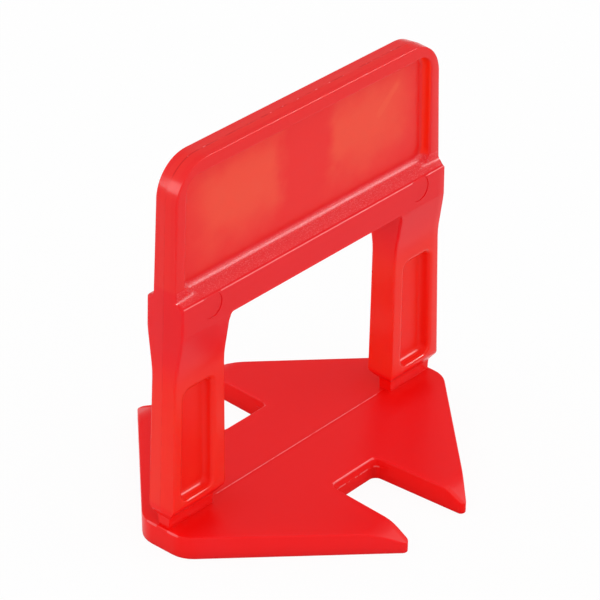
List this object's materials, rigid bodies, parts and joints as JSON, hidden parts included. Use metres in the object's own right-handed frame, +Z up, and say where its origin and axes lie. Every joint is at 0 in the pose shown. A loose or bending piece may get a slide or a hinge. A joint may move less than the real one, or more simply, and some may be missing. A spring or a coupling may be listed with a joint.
{
  "type": "tile levelling clip",
  "caption": "Moulded plastic clip with a notched base plate, legs on thin break-off necks that frame a wedge window, and a rimmed handle plate above the crossbar.",
  "frame": {"origin": "middle of the base's flat underside", "axes": "+X along the frame from leg to leg, +Y across its thickness towards the side without ejector marks, +Z up"},
  "size_m": [0.0404, 0.0358, 0.0417],
  "materials": {
    "clip_plastic": "glossy moulded polypropylene, solid red, with a finely textured ledge"
  },
  "bodies": {
    "root": {"levelling_clip": "clip_plastic"}
  },
  "joints": []
}
